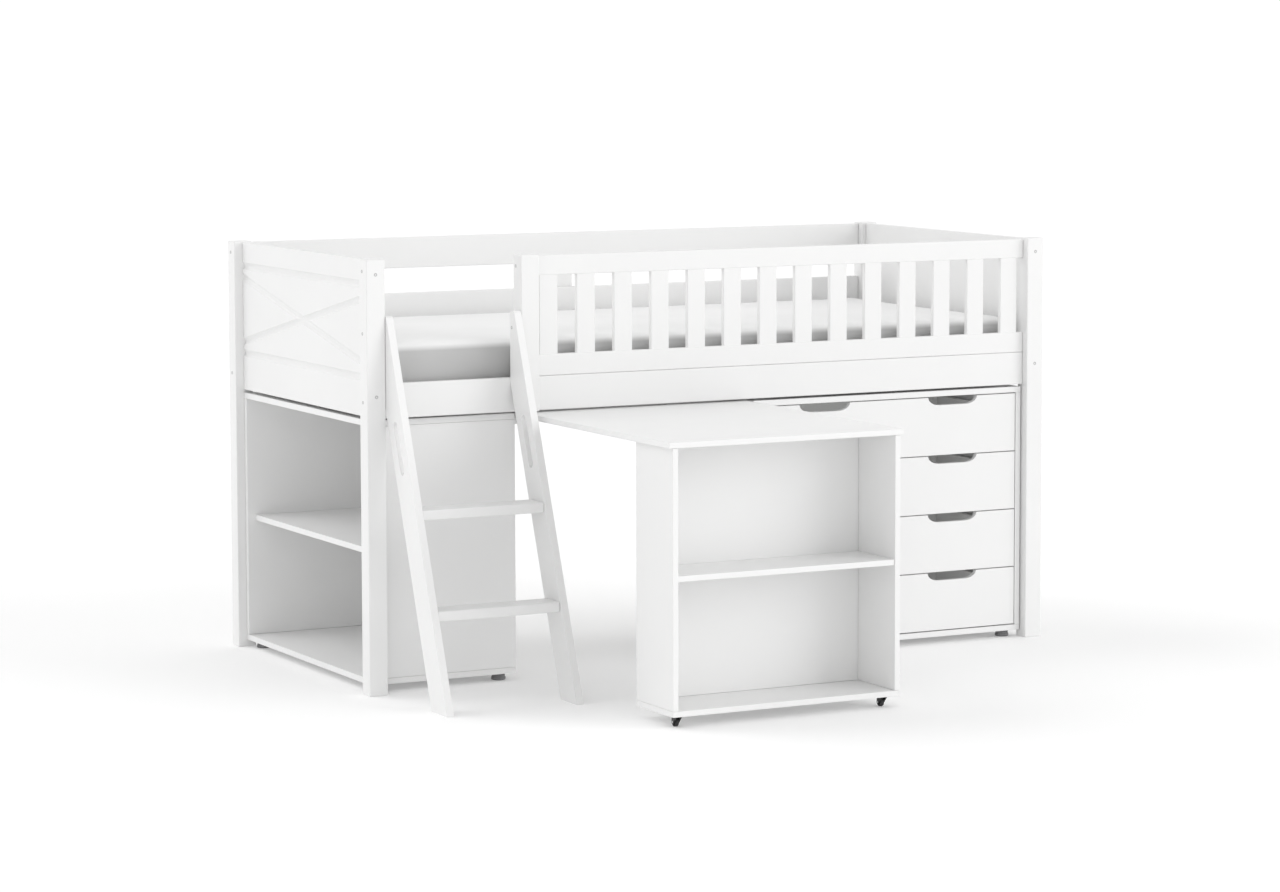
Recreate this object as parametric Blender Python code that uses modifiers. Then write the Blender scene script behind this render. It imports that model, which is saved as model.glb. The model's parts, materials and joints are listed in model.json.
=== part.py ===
"""Mid-height loft bed with a pull-out desk, a bookcase and a chest of drawers under it.

Units are metres and +Z is up.  Lengths run along X from the bookcase end, and depths run
along Y from the front faces of the front posts towards the wall.  The functions below take
those bed coordinates, and place() moves them so that the origin is on the floor, under the
middle of the whole object with its desk pulled out.
"""
import math

import bmesh
import bpy
from mathutils import Matrix, Vector

# --- driving dimensions -------------------------------------------------------------------

GAP = 0.0003              # between pieces that touch
WELD = 0.0001             # joins an outline's caps to its walls
EDGE = 0.0018             # rounding of the lacquered edges
EDGE_SEGMENTS = 2

BED_LENGTH = 2.081
BED_WIDTH = 0.970
BED_HEIGHT = 1.141
POST_X = 0.0525
POST_Y = 0.0485

RAIL_THICKNESS = 0.018
RAIL_BOTTOM = 0.7245
RAIL_HEIGHT = 0.0915
FRONT_RAIL_Y = 0.022      # front face of the front rail and of the guard
BACK_RAIL_Y = 0.942       # inner face of the three back rails
LEDGE_WIDTH = 0.022
LEDGE_HEIGHT = 0.020
LEDGE_RISE = 0.0105       # underside of the ledge above the rail's bottom edge
BACK_RAIL_HEIGHT = 0.088
BACK_RAIL_BOTTOMS = {"back_rail_lower": 0.8905, "back_rail_upper": 1.0495}
BATTEN_WIDTH = 0.053

PANEL_THICKNESS = 0.015
PANEL_RECESS = 0.0240     # from the posts' outer faces
PANEL_BOTTOM = 0.7265
PANEL_TOP = 1.1387
GROOVE_DEPTH = 0.006
GROOVE_RADIUS = 0.0113    # of the round-bottomed cut
GROOVE_STEPS = 20
GROOVE_MIDDLE_Z = 0.9515
GROOVE_LEVEL = 0.1215     # level grooves above and below the middle
GROOVE_CROSS_END = 0.091  # ends of the crossed grooves above and below the middle

MIDDLE_POST_X = 0.443     # left face of the short post beside the ladder
GUARD_TOP = 1.137
GUARD_TOP_HEIGHT = 0.053
GUARD_BOTTOM_HEIGHT = 0.057
GUARD_BARS = 14
GUARD_BAR_WIDTH = 0.054
GUARD_BAR_THICKNESS = 0.015
GUARD_LEFT_GAP = 0.011    # between the middle post and the first bar
GUARD_RIGHT_GAP = 0.021   # between the last bar and the corner post
TENON = 0.012

BASE_SLATS = 14
BASE_SLAT_WIDTH = 0.070
BASE_SLAT_THICKNESS = 0.016
STRAP_WIDTH = 0.025
STRAP_THICKNESS = 0.004
STRAP_INSET = 0.220
MATTRESS_X = (0.060, 2.020)
MATTRESS_Y = (0.0495, 0.934)
MATTRESS_TOP = 0.915
MATTRESS_EDGE = 0.022

LADDER_X = 0.053          # left face of the left stringer
LADDER_WIDTH = 0.387
STRINGER_THICKNESS = 0.020
STRINGER_DEPTH = 0.0945   # level width of the sloping board
STRINGER_TOP = 0.993
LADDER_FOOT_Y = -0.367    # front edge on the floor
LADDER_RISE = 2.73        # height gained for each unit of depth
TREAD_TOPS = {"ladder_tread_lower": 0.2560, "ladder_tread_upper": 0.5055}
TREAD_THICKNESS = 0.027
TREAD_DEPTH = 0.080
GRIP_SLOT_BOTTOM = 0.588
GRIP_SLOT_TOP = 0.723
GRIP_SLOT_WIDTH = 0.024

BOARD = 0.016
UNIT_TOP = 0.718          # top of the bookcase and of the chest
FOOT_HEIGHT = 0.020
FOOT_RADIUS = 0.020
FOOT_INSET = 0.036

BOOKCASE_X = (0.024, 0.446)
BOOKCASE_Y = (0.0502, 0.9202)
BOOKCASE_SHELF_BOTTOM = 0.358
BOOKCASE_SHELF_SET_BACK = 0.024

CHEST_X = (1.156, 2.024)
CHEST_Y = (0.025, 0.447)
CHEST_BACK = 0.008
DRAWERS = 4
DRAWER_GAP = 0.0025
DRAWER_SIDE_CLEARANCE = 0.013
DRAWER_BOX_DEPTH = 0.380
DRAWER_BOX_HEIGHT = 0.112
DRAWER_BOX_RISE = 0.012
DRAWER_WALL = 0.012
SCOOP_HALF_WIDTH = 0.080
SCOOP_FLAT_HALF_WIDTH = 0.042
SCOOP_DEPTH = 0.022
SCOOP_STEPS = 6

DESK_X = (0.4615, 1.1390)
DESK_FRONT = -0.800       # pulled out
DESK_LENGTH = 0.920
DESK_TOP = 0.7195
DESK_BOARD = 0.015
DESK_SHELF_BOTTOM = 0.3700
DESK_OVERHANG = 0.0105    # of the top over the base's sides
DESK_BASE_DEPTH = 0.200
DESK_BASE_BOTTOM = 0.031
DESK_SHELF_SET_BACK = 0.003
RUNNER_WIDTH = 0.022
RUNNER_HEIGHT = 0.018
RUNNER_STAND_OFF = 0.0005 # clears the edge of the board above it

CASTER_INSET_X = 0.030    # swivel axis from the base's side
CASTER_INSET_Y = 0.037    # swivel axis from the base's front
CASTER_PLATE = 0.034
CASTER_PLATE_THICKNESS = 0.003
CASTER_TRAIL = 0.009      # axle behind the swivel axis
WHEEL_RADIUS = 0.0115
WHEEL_WIDTH = 0.010
FORK_WIDTH = 0.017
FORK_SLOT = 0.0112
FORK_END_RADIUS = 0.005
AXLE_RADIUS = 0.0018
AXLE_HOLE_RADIUS = 0.0020
WHEEL_STEPS = 24

ORIGIN = Vector((BED_LENGTH / 2, (BED_WIDTH + DESK_FRONT) / 2, 0.0))

# name: (colour, roughness, metallic)
FINISHES = {
    "white_lacquer": ((0.86, 0.86, 0.85), 0.38, 0.0),
    "carcass_inside": ((0.84, 0.84, 0.83), 0.45, 0.0),
    "mattress_fabric": ((0.88, 0.88, 0.87), 0.90, 0.0),
    "slat_wood": ((0.80, 0.79, 0.77), 0.60, 0.0),
    "drawer_wood": ((0.80, 0.80, 0.79), 0.50, 0.0),
    "foot_plastic": ((0.42, 0.42, 0.43), 0.45, 0.0),
    "caster_black": ((0.02, 0.02, 0.02), 0.40, 0.0),
    "caster_fork": ((0.06, 0.06, 0.065), 0.45, 0.0),
}

# --- scene --------------------------------------------------------------------------------

for old in list(bpy.data.objects):
    bpy.data.objects.remove(old, do_unlink=True)

PARTS = bpy.data.collections.new("loft_bed_with_desk")
CUTTERS = bpy.data.collections.new("cutters")
bpy.context.scene.collection.children.link(PARTS)
bpy.context.scene.collection.children.link(CUTTERS)


def make_finish(name):
    """A Principled BSDF material from the FINISHES table."""
    colour, roughness, metallic = FINISHES[name]
    material = bpy.data.materials.new(name)
    material.use_nodes = True
    shader = material.node_tree.nodes["Principled BSDF"]
    shader.inputs["Base Color"].default_value = (*colour, 1.0)
    shader.inputs["Roughness"].default_value = roughness
    shader.inputs["Metallic"].default_value = metallic
    return material


MATERIALS = {name: make_finish(name) for name in FINISHES}

# --- making pieces ------------------------------------------------------------------------


def place(x, y, z):
    """Bed coordinates to the object's own frame."""
    return Vector((x, y, z)) - ORIGIN


def cube_mesh(name, boxes, centre):
    """A mesh of boxes, each given by its X, Y and Z spans, around a centre."""
    bm = bmesh.new()
    for spans in boxes:
        middle = Vector([(low + high) / 2 for low, high in spans]) - centre
        sizes = [high - low for low, high in spans]
        matrix = Matrix.Translation(middle) @ Matrix.Diagonal((*sizes, 1.0))
        bmesh.ops.create_cube(bm, size=1.0, matrix=matrix)
    mesh = bpy.data.meshes.new(name)
    bm.to_mesh(mesh)
    bm.free()
    return mesh


def add_object(name, data, finish, location, parent=None, rotation=(0.0, 0.0, 0.0)):
    """Link a finished piece; its location is in the object's own frame."""
    piece = bpy.data.objects.new(name, data)
    data.materials.append(MATERIALS[finish])
    PARTS.objects.link(piece)
    piece.rotation_euler = rotation
    piece.location = location
    if parent is not None:
        piece.parent = parent
        piece.location = location - parent_position(parent)
    return piece


def parent_position(parent):
    """World position of a parent that has no rotation or scale."""
    position = parent.location.copy()
    if parent.parent is not None:
        position += parent_position(parent.parent)
    return position


def add_cutter(name, data, location, rotation=(0.0, 0.0, 0.0)):
    """Link a cutting shape, which isn't part of the object."""
    cutter = bpy.data.objects.new(name, data)
    CUTTERS.objects.link(cutter)
    cutter.location = location
    cutter.rotation_euler = rotation
    cutter.hide_render = True
    cutter.display_type = "WIRE"
    return cutter


def join_or_cut(piece, other, operation):
    """Boolean a piece with another mesh object."""
    modifier = piece.modifiers.new(operation.lower(), "BOOLEAN")
    modifier.operation = operation
    modifier.solver = "EXACT"
    modifier.object = other
    return modifier


def round_edges(piece, width=EDGE, segments=EDGE_SEGMENTS):
    """Round a piece's sharp edges."""
    bevel = piece.modifiers.new("rounded_edges", "BEVEL")
    bevel.width = width
    bevel.segments = segments
    bevel.limit_method = "ANGLE"
    bevel.angle_limit = math.radians(40)
    bevel.use_clamp_overlap = True
    return bevel


def board(name, x, y, z, finish="white_lacquer", edge=EDGE, parent=None):
    """A rectangular board with rounded edges, from its X, Y and Z spans."""
    centre = Vector([(low + high) / 2 for low, high in (x, y, z)])
    mesh = cube_mesh(name, [(x, y, z)], centre)
    piece = add_object(name, mesh, finish, place(*centre), parent)
    if edge > 0.0:
        round_edges(piece, edge)
    return piece


def profile_board(name, outlines, along, span, finish="white_lacquer", edge=EDGE, parent=None):
    """A board cut to an outline and extruded along X or Y; later outlines are holes.

    An outline for X lists (y, z) points, and one for Y lists (x, z) points.
    """
    middle = (span[0] + span[1]) / 2
    pivot = outlines[0][0]
    curve = bpy.data.curves.new(name, "CURVE")
    curve.dimensions = "2D"
    curve.fill_mode = "BOTH"
    curve.extrude = (span[1] - span[0]) / 2
    for outline in outlines:
        spline = curve.splines.new("POLY")
        spline.points.add(len(outline) - 1)
        spline.use_cyclic_u = True
        for point, (across, up) in zip(spline.points, outline):
            point.co = (across - pivot[0], up - pivot[1], 0.0, 1.0)
    quarter = math.pi / 2
    if along == "X":
        location = place(middle, *pivot)
        rotation = (quarter, 0.0, quarter)
    else:
        location = place(pivot[0], middle, pivot[1])
        rotation = (quarter, 0.0, 0.0)
    piece = add_object(name, curve, finish, location, parent, rotation)
    weld = piece.modifiers.new("closed_caps", "WELD")
    weld.merge_threshold = WELD
    round_edges(piece, edge)
    return piece


def disc(name, radius, x, y, z, finish, segments=32):
    """A short upright cylinder from its axis position and Z span."""
    low, high = z
    bm = bmesh.new()
    bmesh.ops.create_cone(bm, cap_ends=True, segments=segments, radius1=radius,
                          radius2=radius, depth=high - low)
    mesh = bpy.data.meshes.new(name)
    bm.to_mesh(mesh)
    bm.free()
    piece = add_object(name, mesh, finish, place(x, y, (low + high) / 2))
    round_edges(piece, EDGE, 1)
    mesh.shade_smooth()
    mesh.set_sharp_from_angle(angle=math.radians(40))
    return piece


# --- bed frame ----------------------------------------------------------------------------

POST_LEFT_X = (0.0, POST_X)
POST_RIGHT_X = (BED_LENGTH - POST_X, BED_LENGTH)
POST_FRONT_Y = (0.0, POST_Y)
POST_BACK_Y = (BED_WIDTH - POST_Y, BED_WIDTH)
BETWEEN_POSTS_X = (POST_X + GAP, BED_LENGTH - POST_X - GAP)
BETWEEN_POSTS_Y = (POST_Y + GAP, BED_WIDTH - POST_Y - GAP)
RAIL_TOP = RAIL_BOTTOM + RAIL_HEIGHT
FRONT_RAIL_BACK_Y = FRONT_RAIL_Y + RAIL_THICKNESS
BACK_RAIL_BACK_Y = BACK_RAIL_Y + RAIL_THICKNESS
LEDGE_BOTTOM = RAIL_BOTTOM + LEDGE_RISE
LEDGE_TOP = LEDGE_BOTTOM + LEDGE_HEIGHT


def corner_posts():
    board("post_front_left", POST_LEFT_X, POST_FRONT_Y, (0.0, BED_HEIGHT))
    board("post_front_right", POST_RIGHT_X, POST_FRONT_Y, (0.0, BED_HEIGHT))
    board("post_back_left", POST_LEFT_X, POST_BACK_Y, (0.0, BED_HEIGHT))
    board("post_back_right", POST_RIGHT_X, POST_BACK_Y, (0.0, BED_HEIGHT))


def middle_post():
    """Short post that laps over the front of the side rail and carries the guard."""
    lap_y = FRONT_RAIL_Y - GAP
    lap_z = RAIL_TOP + GAP
    outline = [(0.0, RAIL_BOTTOM), (lap_y, RAIL_BOTTOM), (lap_y, lap_z), (POST_Y, lap_z),
               (POST_Y, BED_HEIGHT), (0.0, BED_HEIGHT)]
    profile_board("post_front_middle", [outline], "X", (MIDDLE_POST_X, MIDDLE_POST_X + POST_X))


def side_rails():
    """Front and back rails, each with the ledge that the slats lie on."""
    face = FRONT_RAIL_BACK_Y
    front = [(FRONT_RAIL_Y, RAIL_BOTTOM), (face, RAIL_BOTTOM), (face, LEDGE_BOTTOM),
             (face + LEDGE_WIDTH, LEDGE_BOTTOM), (face + LEDGE_WIDTH, LEDGE_TOP),
             (face, LEDGE_TOP), (face, RAIL_TOP), (FRONT_RAIL_Y, RAIL_TOP)]
    mirror = FRONT_RAIL_BACK_Y + BACK_RAIL_Y
    back = [(mirror - y, z) for y, z in reversed(front)]
    profile_board("side_rail_front", [front], "X", BETWEEN_POSTS_X)
    profile_board("side_rail_back", [back], "X", BETWEEN_POSTS_X)


def back_rails():
    rail_y = (BACK_RAIL_Y, BACK_RAIL_BACK_Y)
    for name, bottom in BACK_RAIL_BOTTOMS.items():
        board(name, BETWEEN_POSTS_X, rail_y, (bottom, bottom + BACK_RAIL_HEIGHT))
    middle = BED_LENGTH / 2
    top = BACK_RAIL_BOTTOMS["back_rail_upper"] + BACK_RAIL_HEIGHT
    board("back_centre_batten", (middle - BATTEN_WIDTH / 2, middle + BATTEN_WIDTH / 2),
          (BACK_RAIL_BACK_Y + GAP, BED_WIDTH), (RAIL_BOTTOM, top))


def groove_cutter(name, x, start, end):
    """A round bar along a groove from start to end, (y, z) points, with its axis at x."""
    run = Vector((0.0, end[0] - start[0], end[1] - start[1]))
    bm = bmesh.new()
    bmesh.ops.create_cone(bm, cap_ends=True, segments=GROOVE_STEPS, radius1=GROOVE_RADIUS,
                          radius2=GROOVE_RADIUS, depth=run.length)
    mesh = bpy.data.meshes.new(name)
    bm.to_mesh(mesh)
    bm.free()
    tilt = -math.atan2(run.y, run.z)
    middle = place(x, (start[0] + end[0]) / 2, (start[1] + end[1]) / 2)
    return add_cutter(name, mesh, middle, (tilt, 0.0, 0.0))


def end_panel(name, x, groove_x):
    """Panel between two posts, with two level and two crossed grooves outside."""
    panel = board(name, x, BETWEEN_POSTS_Y, (PANEL_BOTTOM, PANEL_TOP), edge=0.0)
    near, far = BETWEEN_POSTS_Y
    reach = 0.03              # the cutters run past both side edges
    for side, level in (("upper", GROOVE_LEVEL), ("lower", -GROOVE_LEVEL)):
        z = GROOVE_MIDDLE_Z + level
        cutter = groove_cutter(f"{name}_{side}", groove_x, (near - reach, z), (far + reach, z))
        join_or_cut(panel, cutter, "DIFFERENCE")
    slope = 2 * GROOVE_CROSS_END / (far - near)
    for side, sign in (("rising", 1.0), ("falling", -1.0)):
        drop = sign * (GROOVE_CROSS_END + slope * reach)
        start = (near - reach, GROOVE_MIDDLE_Z - drop)
        end = (far + reach, GROOVE_MIDDLE_Z + drop)
        join_or_cut(panel, groove_cutter(f"{name}_{side}", groove_x, start, end), "DIFFERENCE")


def end_panels():
    outer = PANEL_RECESS
    inner = PANEL_RECESS + PANEL_THICKNESS
    axis = PANEL_RECESS + GROOVE_DEPTH - GROOVE_RADIUS
    end_panel("end_panel_left", (outer, inner), axis)
    end_panel("end_panel_right", (BED_LENGTH - inner, BED_LENGTH - outer), BED_LENGTH - axis)


def guard_rail():
    """Guard between the middle and right posts: two rails with upright bars let into them."""
    left = MIDDLE_POST_X + POST_X + GAP
    right = POST_RIGHT_X[0] - GAP
    rail_y = (FRONT_RAIL_Y, FRONT_RAIL_BACK_Y)
    bottom = RAIL_TOP + GAP
    bottom_rail = (bottom, bottom + GUARD_BOTTOM_HEIGHT)
    top_rail = (GUARD_TOP - GUARD_TOP_HEIGHT, GUARD_TOP)
    centre = Vector(((left + right) / 2, sum(rail_y) / 2, (bottom + GUARD_TOP) / 2))
    rails = [((left, right), rail_y, bottom_rail), ((left, right), rail_y, top_rail)]
    first = left + GUARD_LEFT_GAP
    pitch = (right - GUARD_RIGHT_GAP - GUARD_BAR_WIDTH - first) / (GUARD_BARS - 1)
    recess = (RAIL_THICKNESS - GUARD_BAR_THICKNESS) / 2
    bar_y = (rail_y[0] + recess, rail_y[1] - recess)
    bar_z = (bottom_rail[1] - TENON, top_rail[0] + TENON)
    bars = []
    for index in range(GUARD_BARS):
        x = first + index * pitch
        bars.append(((x, x + GUARD_BAR_WIDTH), bar_y, bar_z))
    guard = add_object("guard_rail", cube_mesh("guard_rail", rails, centre), "white_lacquer",
                       place(*centre))
    bar_set = add_cutter("guard_bars", cube_mesh("guard_bars", bars, centre), place(*centre))
    join_or_cut(guard, bar_set, "UNION")


def sleeping_surface():
    """Slats held at their spacing by two straps, and the mattress on them."""
    slat_x = (MATTRESS_X[0] + GAP, MATTRESS_X[1] - GAP)
    slat_y = (FRONT_RAIL_BACK_Y + 0.002, BACK_RAIL_Y - 0.002)
    bottom = LEDGE_TOP + GAP
    top = bottom + BASE_SLAT_THICKNESS
    pitch = (slat_x[1] - slat_x[0] - BASE_SLAT_WIDTH) / (BASE_SLATS - 1)
    slats = []
    for index in range(BASE_SLATS):
        x = slat_x[0] + index * pitch
        slats.append(((x, x + BASE_SLAT_WIDTH), slat_y, (bottom, top)))
    strap_z = (bottom + 0.002, bottom + 0.002 + STRAP_THICKNESS)
    strap_x = (slat_x[0] + 0.002, slat_x[1] - 0.002)
    straps = []
    for y in (slat_y[0] + STRAP_INSET, slat_y[1] - STRAP_INSET):
        straps.append((strap_x, (y - STRAP_WIDTH / 2, y + STRAP_WIDTH / 2), strap_z))
    centre = Vector((sum(slat_x) / 2, sum(slat_y) / 2, (bottom + top) / 2))
    base = add_object("slatted_base", cube_mesh("slatted_base", slats, centre), "slat_wood",
                      place(*centre))
    strap_set = add_cutter("base_straps", cube_mesh("base_straps", straps, centre),
                           place(*centre))
    join_or_cut(base, strap_set, "UNION")
    mattress = board("mattress", MATTRESS_X, MATTRESS_Y, (top + GAP, MATTRESS_TOP),
                     "mattress_fabric", MATTRESS_EDGE)
    mattress.modifiers["rounded_edges"].segments = 3


# --- ladder -------------------------------------------------------------------------------


def ladder_front_y(z):
    """Front edge of the sloping stringers at a height."""
    return LADDER_FOOT_Y + z / LADDER_RISE


def stadium(start, end, width, steps=6):
    """Outline of a slot with round ends, between two (y, z) centres."""
    direction = math.atan2(end[1] - start[1], end[0] - start[0])
    points = []
    for centre, facing in ((end, direction), (start, direction + math.pi)):
        for index in range(steps + 1):
            angle = facing - math.pi / 2 + math.pi * index / steps
            points.append((centre[0] + width / 2 * math.cos(angle),
                           centre[1] + width / 2 * math.sin(angle)))
    return points


def ladder():
    """Two stringers that lean on the rail, bolted to the posts, and two level treads."""
    rest_y = FRONT_RAIL_Y - GAP
    rest_z = (rest_y - LADDER_FOOT_Y - STRINGER_DEPTH) * LADDER_RISE
    outline = [(LADDER_FOOT_Y, 0.0), (LADDER_FOOT_Y + STRINGER_DEPTH, 0.0), (rest_y, rest_z),
               (rest_y, STRINGER_TOP), (ladder_front_y(STRINGER_TOP), STRINGER_TOP)]
    middle = STRINGER_DEPTH / 2
    end_z = GRIP_SLOT_WIDTH / 2
    slot = stadium(
        (ladder_front_y(GRIP_SLOT_BOTTOM + end_z) + middle, GRIP_SLOT_BOTTOM + end_z),
        (ladder_front_y(GRIP_SLOT_TOP - end_z) + middle, GRIP_SLOT_TOP - end_z),
        GRIP_SLOT_WIDTH)
    right_x = LADDER_X + LADDER_WIDTH - STRINGER_THICKNESS
    for name, x in (("ladder_stringer_left", LADDER_X), ("ladder_stringer_right", right_x)):
        profile_board(name, [outline, slot], "X", (x, x + STRINGER_THICKNESS))
    tread_x = (LADDER_X + STRINGER_THICKNESS + GAP, right_x - GAP)
    for name, top in TREAD_TOPS.items():
        front = ladder_front_y(top) + 0.002
        board(name, tread_x, (front, front + TREAD_DEPTH), (top - TREAD_THICKNESS, top))


# --- bookcase -----------------------------------------------------------------------------


def feet(unit, x, y):
    """Four round feet under a unit with the given X and Y spans."""
    places = {"front_left": (x[0] + FOOT_INSET, y[0] + FOOT_INSET),
              "front_right": (x[1] - FOOT_INSET, y[0] + FOOT_INSET),
              "back_left": (x[0] + FOOT_INSET, y[1] - FOOT_INSET),
              "back_right": (x[1] - FOOT_INSET, y[1] - FOOT_INSET)}
    for corner, (foot_x, foot_y) in places.items():
        disc(f"{unit}_foot_{corner}", FOOT_RADIUS, foot_x, foot_y, (0.0, FOOT_HEIGHT - GAP),
             "foot_plastic")


SIDE_Z = (FOOT_HEIGHT + BOARD + GAP, UNIT_TOP - BOARD - GAP)
RUNNER_TOP = DESK_TOP - DESK_BOARD - GAP


def panel_with_runner(name, x, y, side):
    """Upright panel with a desk runner on its +X side (side 1) or its -X side (side -1)."""
    low, high = SIDE_Z
    shift = side * RUNNER_STAND_OFF
    near, far = (x[1], x[0]) if side > 0 else (x[0], x[1])
    near += shift
    far += shift
    tip = near + side * RUNNER_WIDTH
    runner_low = RUNNER_TOP - RUNNER_HEIGHT
    outline = [(far, low), (near, low), (near, runner_low), (tip, runner_low),
               (tip, RUNNER_TOP), (near, RUNNER_TOP), (near, high), (far, high)]
    profile_board(name, [outline], "Y", y, edge=0.001)


def bookcase():
    """Open bookcase that faces the left end of the bed."""
    x = BOOKCASE_X
    y = BOOKCASE_Y
    inside_y = (y[0] + BOARD + GAP, y[1] - BOARD - GAP)
    board("bookcase_top", x, y, (UNIT_TOP - BOARD, UNIT_TOP))
    board("bookcase_bottom", x, y, (FOOT_HEIGHT, FOOT_HEIGHT + BOARD))
    board("bookcase_side_front", x, (y[0], y[0] + BOARD), SIDE_Z)
    board("bookcase_side_back", x, (y[1] - BOARD, y[1]), SIDE_Z)
    panel_with_runner("bookcase_back", (x[1] - BOARD, x[1]), inside_y, 1)
    board("bookcase_shelf", (x[0] + BOOKCASE_SHELF_SET_BACK, x[1] - BOARD - GAP), inside_y,
          (BOOKCASE_SHELF_BOTTOM, BOOKCASE_SHELF_BOTTOM + BOARD))
    feet("bookcase", x, y)


# --- chest of drawers ---------------------------------------------------------------------


def scooped_front_outline(x, z):
    """A drawer front with two finger scoops in its top edge, as (x, z) points."""
    left, right = x
    bottom, top = z
    points = [(left, bottom), (right, bottom), (right, top)]
    bowl = SCOOP_HALF_WIDTH - SCOOP_FLAT_HALF_WIDTH
    for part in (0.75, 0.25):
        centre = left + part * (right - left)
        for index in range(SCOOP_STEPS + 1):
            angle = math.pi / 2 * index / SCOOP_STEPS
            points.append((centre + SCOOP_FLAT_HALF_WIDTH + bowl * math.cos(angle),
                           top - SCOOP_DEPTH * math.sin(angle)))
        for index in range(SCOOP_STEPS + 1):
            angle = math.pi / 2 * (1 - index / SCOOP_STEPS)
            points.append((centre - SCOOP_FLAT_HALF_WIDTH - bowl * math.cos(angle),
                           top - SCOOP_DEPTH * math.sin(angle)))
    points.append((left, top))
    return points


def drawer(index, inside_x, front_z):
    """One drawer: the scooped front, and the open box behind it, on a sliding empty."""
    slide = bpy.data.objects.new(f"drawer_{index}_slide", None)
    PARTS.objects.link(slide)
    slide.location = place(sum(inside_x) / 2, CHEST_Y[0], sum(front_z) / 2)
    front_x = (inside_x[0] + DRAWER_GAP, inside_x[1] - DRAWER_GAP)
    front_y = (CHEST_Y[0], CHEST_Y[0] + BOARD)
    profile_board(f"drawer_front_{index}", [scooped_front_outline(front_x, front_z)], "Y",
                  front_y, parent=slide)
    box_x = (inside_x[0] + DRAWER_SIDE_CLEARANCE, inside_x[1] - DRAWER_SIDE_CLEARANCE)
    box_y = (front_y[1] + GAP, front_y[1] + GAP + DRAWER_BOX_DEPTH)
    box_z = (front_z[0] + DRAWER_BOX_RISE, front_z[0] + DRAWER_BOX_RISE + DRAWER_BOX_HEIGHT)
    centre = Vector([sum(span) / 2 for span in (box_x, box_y, box_z)])
    mesh = cube_mesh(f"drawer_box_{index}", [(box_x, box_y, box_z)], centre)
    bm = bmesh.new()
    bm.from_mesh(mesh)
    lid = [face for face in bm.faces if face.normal.z > 0.5]
    bmesh.ops.delete(bm, geom=lid, context="FACES_ONLY")
    bm.to_mesh(mesh)
    bm.free()
    box = add_object(f"drawer_box_{index}", mesh, "drawer_wood", place(*centre), slide)
    walls = box.modifiers.new("walls", "SOLIDIFY")
    walls.thickness = DRAWER_WALL
    walls.offset = -1.0
    walls.use_even_offset = True


def chest():
    """Chest of four wide drawers, facing the front."""
    x = CHEST_X
    y = CHEST_Y
    inside_x = (x[0] + BOARD, x[1] - BOARD)
    board("chest_top", x, y, (UNIT_TOP - BOARD, UNIT_TOP))
    board("chest_bottom", x, y, (FOOT_HEIGHT, FOOT_HEIGHT + BOARD))
    panel_with_runner("chest_side_left", (x[0], inside_x[0]), y, -1)
    board("chest_side_right", (inside_x[1], x[1]), y, SIDE_Z)
    board("chest_back", (inside_x[0] + GAP, inside_x[1] - GAP), (y[1] - CHEST_BACK, y[1]),
          SIDE_Z, "carcass_inside", 0.001)
    feet("chest", x, y)
    opening = SIDE_Z[1] - SIDE_Z[0]
    height = (opening - (DRAWERS + 1) * DRAWER_GAP) / DRAWERS
    for row in range(DRAWERS):
        high = SIDE_Z[1] - DRAWER_GAP - row * (height + DRAWER_GAP)
        drawer(row + 1, inside_x, (high - height, high))


# --- desk ---------------------------------------------------------------------------------


def wheel_mesh(name):
    """Tyre, hub and axle stubs in one profile, turned about the local X axis."""
    half = WHEEL_WIDTH / 2
    stub = FORK_WIDTH / 2
    hub = 0.45 * WHEEL_RADIUS
    profile = [(0.0, stub), (AXLE_RADIUS, stub), (AXLE_RADIUS, half), (hub, half),
               (hub + 0.001, half - 0.001), (WHEEL_RADIUS - 0.003, half - 0.001),
               (WHEEL_RADIUS - 0.002, half), (WHEEL_RADIUS - 0.001, half - 0.0003),
               (WHEEL_RADIUS, half - 0.002)]
    mirrored = [(radius, -along) for radius, along in reversed(profile)]
    mesh = bpy.data.meshes.new(name)
    bm = bmesh.new()
    verts = [bm.verts.new((radius, 0.0, along)) for radius, along in profile + mirrored]
    for first, second in zip(verts, verts[1:]):
        bm.edges.new((first, second))
    bm.to_mesh(mesh)
    bm.free()
    return mesh


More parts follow.
